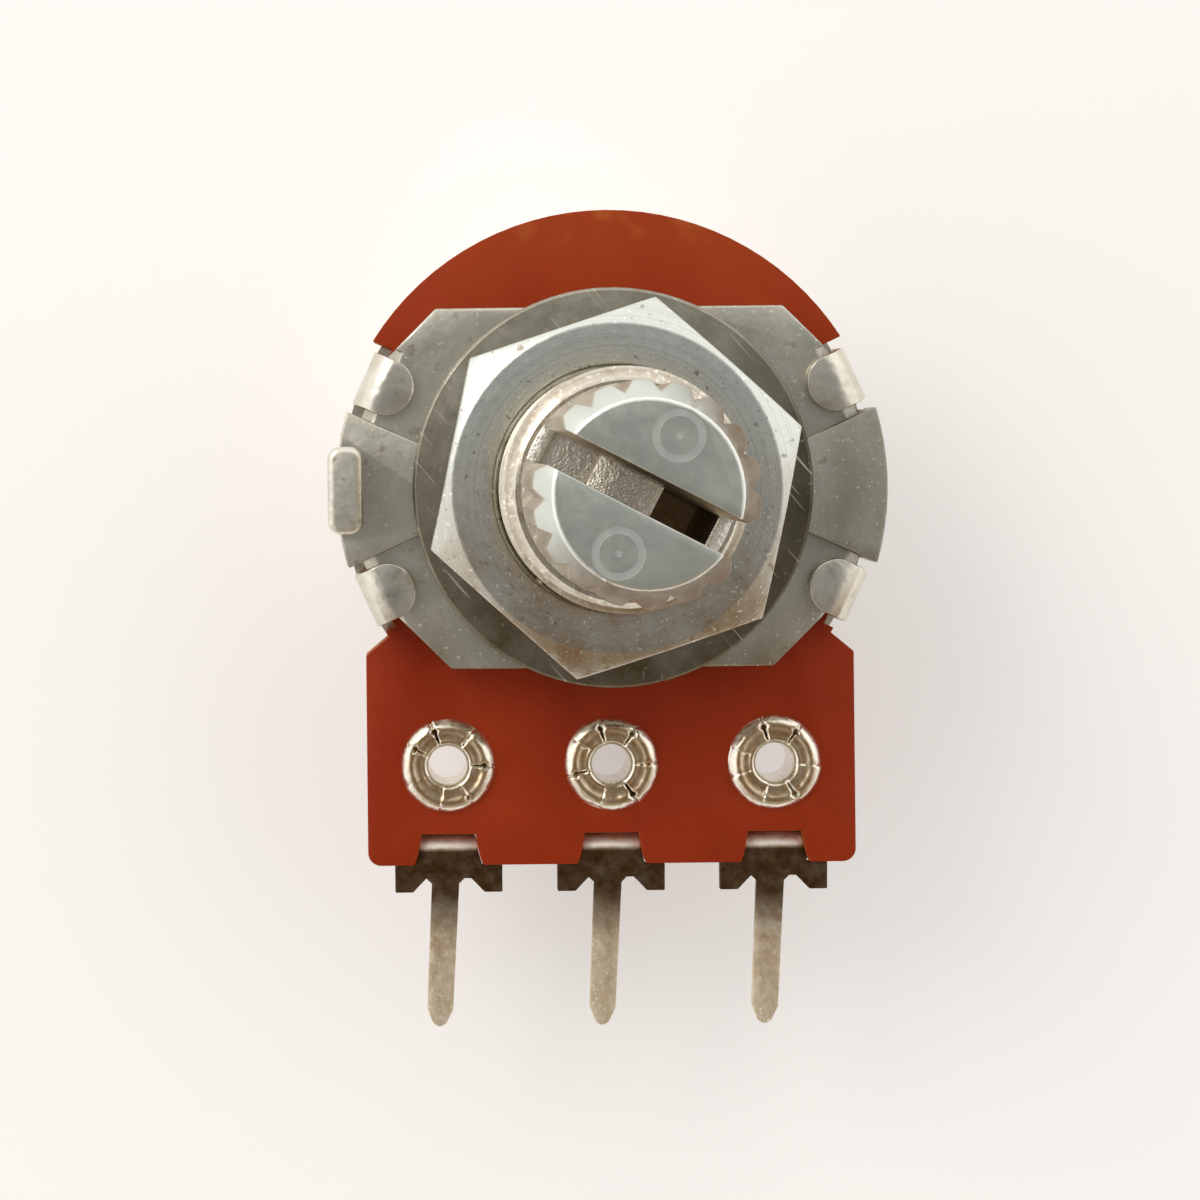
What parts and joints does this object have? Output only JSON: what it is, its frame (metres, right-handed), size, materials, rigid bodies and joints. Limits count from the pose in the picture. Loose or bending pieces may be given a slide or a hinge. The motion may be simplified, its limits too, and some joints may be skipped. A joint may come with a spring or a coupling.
{
  "type": "rotary potentiometer",
  "caption": "Small rotary potentiometer with a centre detent, split serrated shaft, threaded bushing, locating key, round metal cover and board-mount pins in a row.",
  "frame": {"origin": "where the shaft's axis meets the mounting face", "axes": "+Z out along the shaft, -Y towards the pins, -X towards the locating key"},
  "size_m": [0.0168, 0.0251, 0.0237],
  "materials": {
    "zinc_casting": "die cast zinc, satin",
    "zinc_shaft": "die cast and turned, satin",
    "spring_steel": "rolled",
    "phenolic": "laminate, matt",
    "carbon_film": "screen printed",
    "silver_film": "screen printed",
    "tinned_brass": "tin plated",
    "tinned_steel": "tin plated",
    "rotor_moulding": "moulded",
    "phosphor_bronze": "rolled",
    "plated_steel": "zinc plated"
  },
  "bodies": {
    "housing": {"front_housing": "zinc_casting", "board": "phenolic", "resistive_track": "carbon_film", "collector_ring": "silver_film", "lead_left": "silver_film", "lead_right": "silver_film", "terminal_left": "tinned_brass", "terminal_middle": "tinned_brass", "terminal_right": "tinned_brass", "eyelet_left": "tinned_brass", "eyelet_middle": "tinned_brass", "eyelet_right": "tinned_brass", "rear_cover": "tinned_steel", "detent_spring": "spring_steel", "washer": "plated_steel", "nut": "plated_steel"},
    "shaft_assembly": {"shaft": "zinc_shaft", "retaining_ring": "spring_steel", "rotor": "rotor_moulding", "wiper": "phosphor_bronze"}
  },
  "joints": [
    {"name": "shaft_turn", "type": "hinge", "parent": "housing", "child": "shaft_assembly", "pos_m": [0, 0, 0], "axis": [0, 0, 1], "range_deg": [-150, 150], "deforming": ["detent_spring"]}
  ]
}
